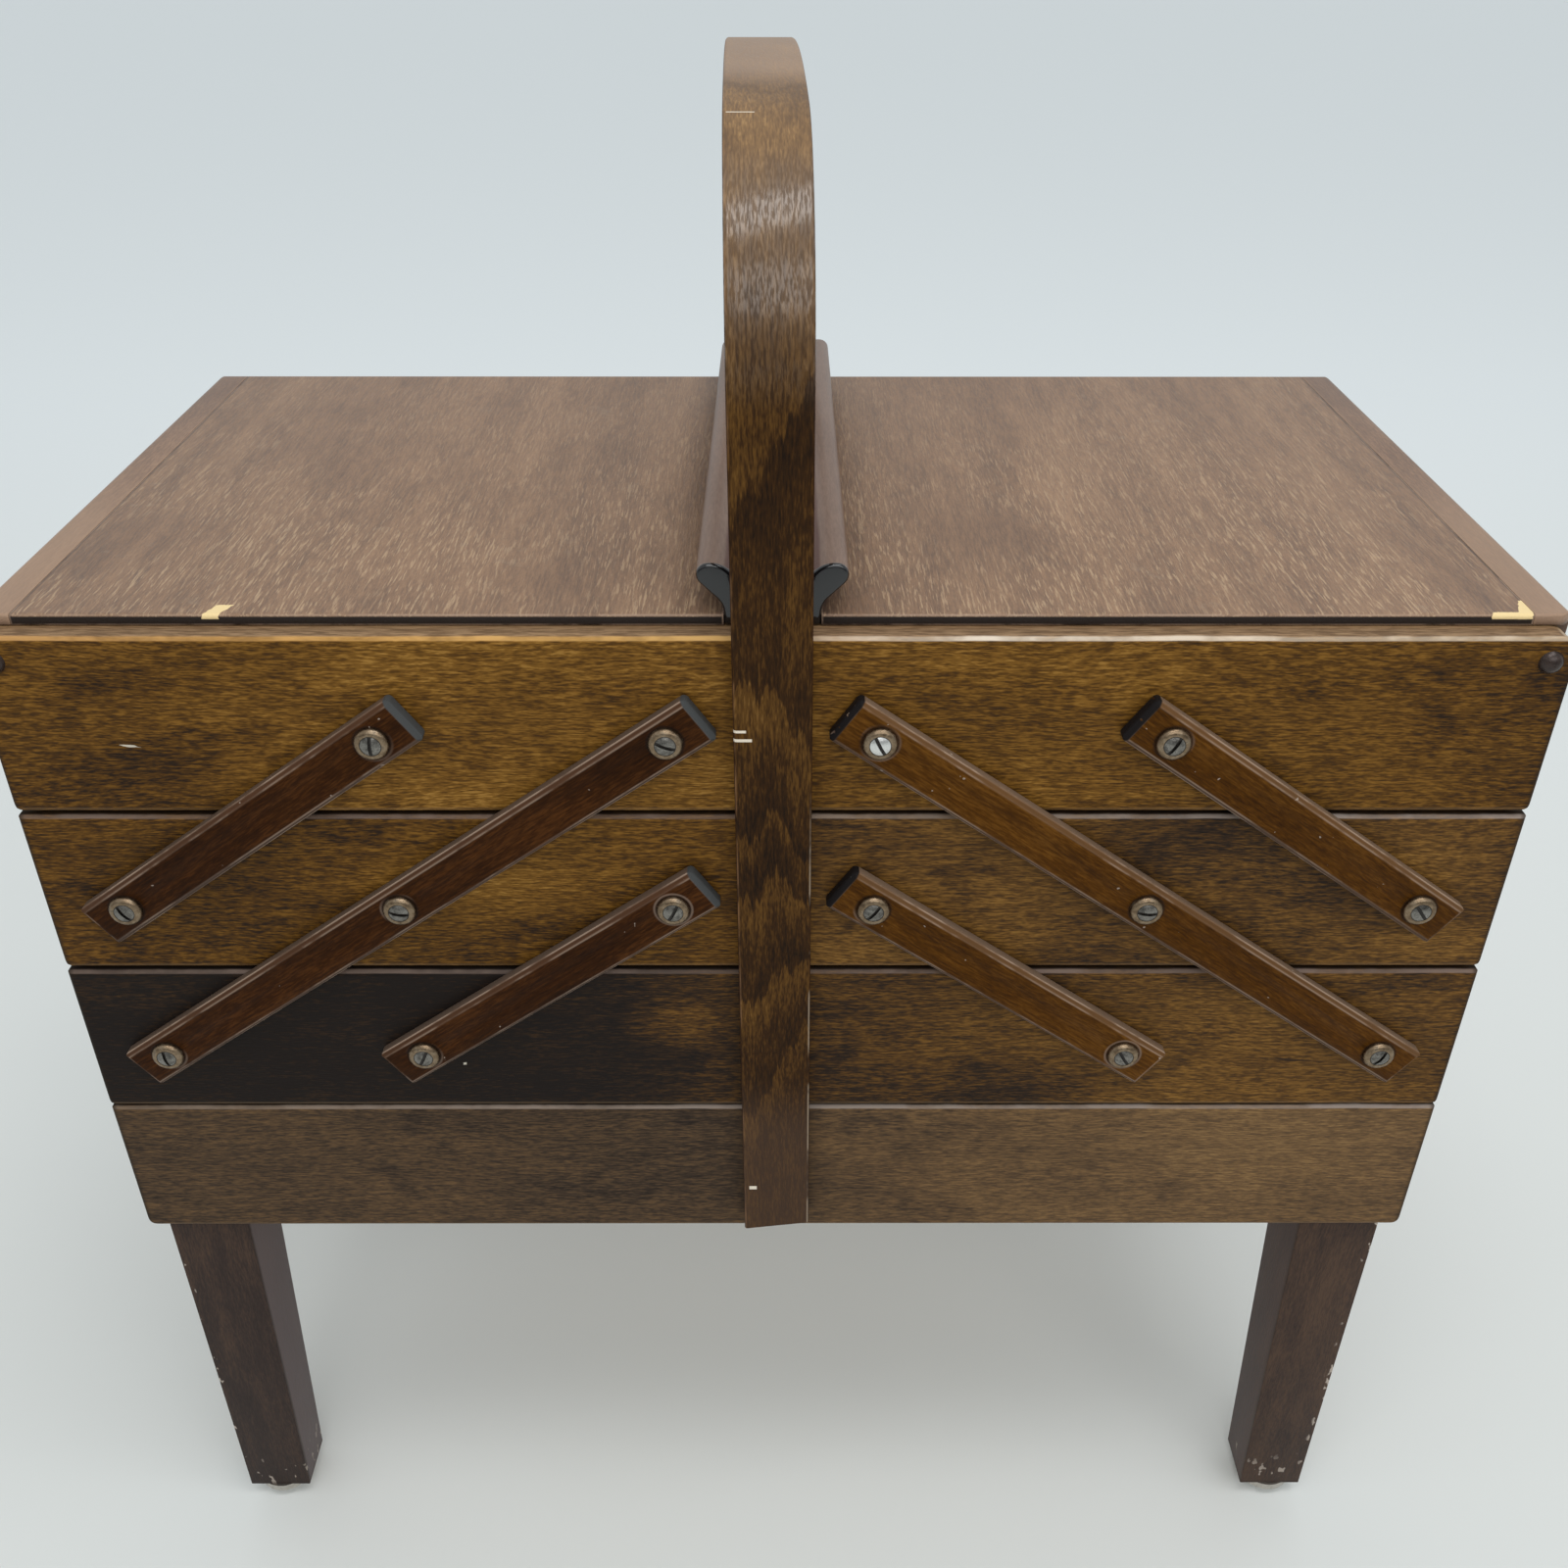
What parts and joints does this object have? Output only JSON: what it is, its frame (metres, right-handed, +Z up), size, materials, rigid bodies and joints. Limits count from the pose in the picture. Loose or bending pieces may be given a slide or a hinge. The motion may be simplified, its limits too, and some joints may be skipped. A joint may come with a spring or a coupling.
{
  "type": "cantilever sewing carrier",
  "caption": "Wooden cantilever sewing carrier on four legs: deep base, middle and top trays each side on pivoting arms, two hinged lids and a fixed bentwood hoop handle.",
  "frame": {"origin": "on the floor under the middle of the box", "axes": "+Z up, +X to the right when facing the front, -Y towards the front; the handle hoop crosses the box from front to back at about X = 0"},
  "size_m": [0.442, 0.2474, 0.53],
  "materials": {
    "tray_boards": "varnished, figured golden brown veneer with dark patches, satin, worn pale along the upper edges",
    "end_boards": "varnished brown wood, satin, worn at the edges",
    "base_boards": "varnished dark brown wood, satin",
    "plywood": "bare thin plywood, matt",
    "handle_wood": "steam-bent wood with a darker flame figure, varnished, glossy",
    "leg_wood": "dark varnished wood, satin",
    "lid_veneer": "varnished plywood, taupe brown, glossy, with pale pores along the grain",
    "rail_wood": "dark varnished wood, glossy, scratched",
    "pull_moulding": "moulded strip, reddish dark brown lacquer with black ends, high gloss",
    "arm_mahogany": "varnished reddish mahogany, glossy on the bevels",
    "screw_steel": "dulled slotted steel",
    "washer_brass": "tarnished brass cup washers",
    "pin_dark_metal": "dark browned round-headed pins",
    "glide_metal": "pressed steel glides, dull"
  },
  "bodies": {
    "base": {"base_front_lower": "base_boards", "base_front_upper": "base_boards", "base_back_lower": "base_boards", "base_back_upper": "base_boards", "base_left_end_lower": "end_boards", "base_left_end_upper": "end_boards", "base_right_end_lower": "end_boards", "base_right_end_upper": "end_boards", "base_bottom": "plywood", "handle": "handle_wood", "leg_front_left": "leg_wood", "leg_front_right": "leg_wood", "leg_back_left": "leg_wood", "leg_back_right": "leg_wood", "leg_glides": "glide_metal", "inside_screws": "screw_steel", "base_pivot_screws": "screw_steel", "base_pivot_washers": "washer_brass"},
    "left_long_arms": {"left_long_arms": "arm_mahogany"},
    "left_lower_arms": {"left_lower_arms": "arm_mahogany"},
    "left_upper_arms": {"left_upper_arms": "arm_mahogany"},
    "left_mid_tray": {"left_mid_front": "tray_boards", "left_mid_back": "tray_boards", "left_mid_outer_end": "end_boards", "left_mid_inner_end": "end_boards", "left_mid_bottom": "plywood", "left_mid_pivot_screws": "screw_steel", "left_mid_pivot_washers": "washer_brass"},
    "left_top_tray": {"left_top_front": "tray_boards", "left_top_back": "tray_boards", "left_top_outer_end": "end_boards", "left_top_inner_end": "end_boards", "left_top_bottom": "plywood", "left_top_pivot_screws": "screw_steel", "left_top_pivot_washers": "washer_brass", "left_lid_pins": "pin_dark_metal"},
    "left_lid": {"left_lid_panel": "lid_veneer", "left_lid_rail": "rail_wood", "left_lid_pull": "pull_moulding"},
    "right_long_arms": {"right_long_arms": "arm_mahogany"},
    "right_lower_arms": {"right_lower_arms": "arm_mahogany"},
    "right_upper_arms": {"right_upper_arms": "arm_mahogany"},
    "right_mid_tray": {"right_mid_front": "tray_boards", "right_mid_back": "tray_boards", "right_mid_outer_end": "end_boards", "right_mid_inner_end": "end_boards", "right_mid_bottom": "plywood", "right_mid_pivot_screws": "screw_steel", "right_mid_pivot_washers": "washer_brass"},
    "right_top_tray": {"right_top_front": "tray_boards", "right_top_back": "tray_boards", "right_top_outer_end": "end_boards", "right_top_inner_end": "end_boards", "right_top_bottom": "plywood", "right_top_pivot_screws": "screw_steel", "right_top_pivot_washers": "washer_brass", "right_lid_pins": "pin_dark_metal"},
    "right_lid": {"right_lid_panel": "lid_veneer", "right_lid_rail": "rail_wood", "right_lid_pull": "pull_moulding"}
  },
  "joints": [
    {"name": "left_fold", "type": "hinge", "parent": "base", "child": "left_long_arms", "pos_m": [-0.194, 0, 0.251], "axis": [0, -1, 0], "range_deg": [0, 109]},
    {"name": "left_mid_level", "type": "hinge", "parent": "left_long_arms", "child": "left_mid_tray", "pos_m": [-0.112, 0, 0.309], "axis": [0, -1, 0], "range_deg": [-109.5, 0.5]},
    {"name": "left_top_level", "type": "hinge", "parent": "left_long_arms", "child": "left_top_tray", "pos_m": [-0.03, 0, 0.367], "axis": [0, -1, 0], "range_deg": [-109.5, 0.5]},
    {"name": "left_lower_arm_swing", "type": "hinge", "parent": "base", "child": "left_lower_arms", "pos_m": [-0.112, 0, 0.251], "axis": [0, -1, 0], "range_deg": [-0.5, 109.5]},
    {"name": "left_upper_arm_swing", "type": "hinge", "parent": "left_mid_tray", "child": "left_upper_arms", "pos_m": [-0.194, 0, 0.309], "axis": [0, -1, 0], "range_deg": [-0.5, 109.5]},
    {"name": "left_lid_hinge", "type": "hinge", "parent": "left_top_tray", "child": "left_lid", "pos_m": [-0.214, 0, 0.3895], "axis": [0, -1, 0], "range_deg": [0, 95]},
    {"name": "right_fold", "type": "hinge", "parent": "base", "child": "right_long_arms", "pos_m": [0.194, 0, 0.251], "axis": [0, 1, 0], "range_deg": [0, 109]},
    {"name": "right_mid_level", "type": "hinge", "parent": "right_long_arms", "child": "right_mid_tray", "pos_m": [0.112, 0, 0.309], "axis": [0, 1, 0], "range_deg": [-109.5, 0.5]},
    {"name": "right_top_level", "type": "hinge", "parent": "right_long_arms", "child": "right_top_tray", "pos_m": [0.03, 0, 0.367], "axis": [0, 1, 0], "range_deg": [-109.5, 0.5]},
    {"name": "right_lower_arm_swing", "type": "hinge", "parent": "base", "child": "right_lower_arms", "pos_m": [0.112, 0, 0.251], "axis": [0, 1, 0], "range_deg": [-0.5, 109.5]},
    {"name": "right_upper_arm_swing", "type": "hinge", "parent": "right_mid_tray", "child": "right_upper_arms", "pos_m": [0.194, 0, 0.309], "axis": [0, 1, 0], "range_deg": [-0.5, 109.5]},
    {"name": "right_lid_hinge", "type": "hinge", "parent": "right_top_tray", "child": "right_lid", "pos_m": [0.214, 0, 0.3895], "axis": [0, 1, 0], "range_deg": [0, 95]}
  ],
  "couplings": [
    {"joint": "left_mid_level", "follows": "left_fold", "ratio": -1},
    {"joint": "left_top_level", "follows": "left_fold", "ratio": -1},
    {"joint": "left_lower_arm_swing", "follows": "left_fold", "ratio": 1},
    {"joint": "left_upper_arm_swing", "follows": "left_fold", "ratio": 1},
    {"joint": "right_mid_level", "follows": "right_fold", "ratio": -1},
    {"joint": "right_top_level", "follows": "right_fold", "ratio": -1},
    {"joint": "right_lower_arm_swing", "follows": "right_fold", "ratio": 1},
    {"joint": "right_upper_arm_swing", "follows": "right_fold", "ratio": 1}
  ]
}
